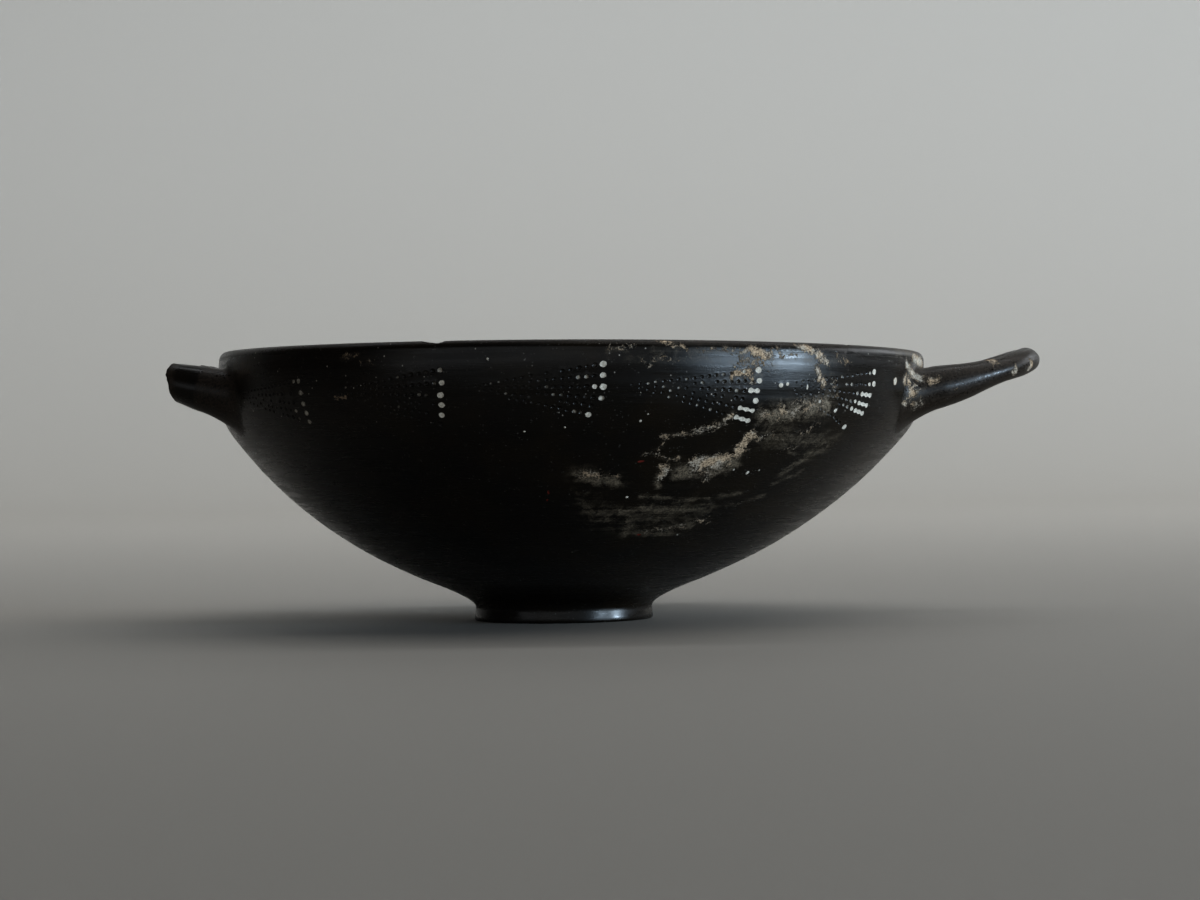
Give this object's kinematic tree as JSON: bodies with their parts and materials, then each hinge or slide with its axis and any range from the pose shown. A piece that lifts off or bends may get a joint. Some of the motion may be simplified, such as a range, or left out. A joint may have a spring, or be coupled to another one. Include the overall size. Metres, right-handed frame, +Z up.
{
  "type": "kylix cup",
  "caption": "Low wide drinking cup of black burnished clay on a ring foot, with one loop handle and the stubs of a lost one.",
  "frame": {"origin": "middle of the bounding box, at the level of the surface that the foot stands on", "axes": "+Z up out of the bowl, +X towards the whole handle, -Y towards the side that is seen first"},
  "size_m": [0.1716, 0.1396, 0.0538],
  "materials": {
    "black_clay": "black reduced clay, burnished to a soft shine, with worn edges and pale patches of old deposit"
  },
  "bodies": {
    "root": {"kylix": "black_clay"}
  },
  "joints": []
}
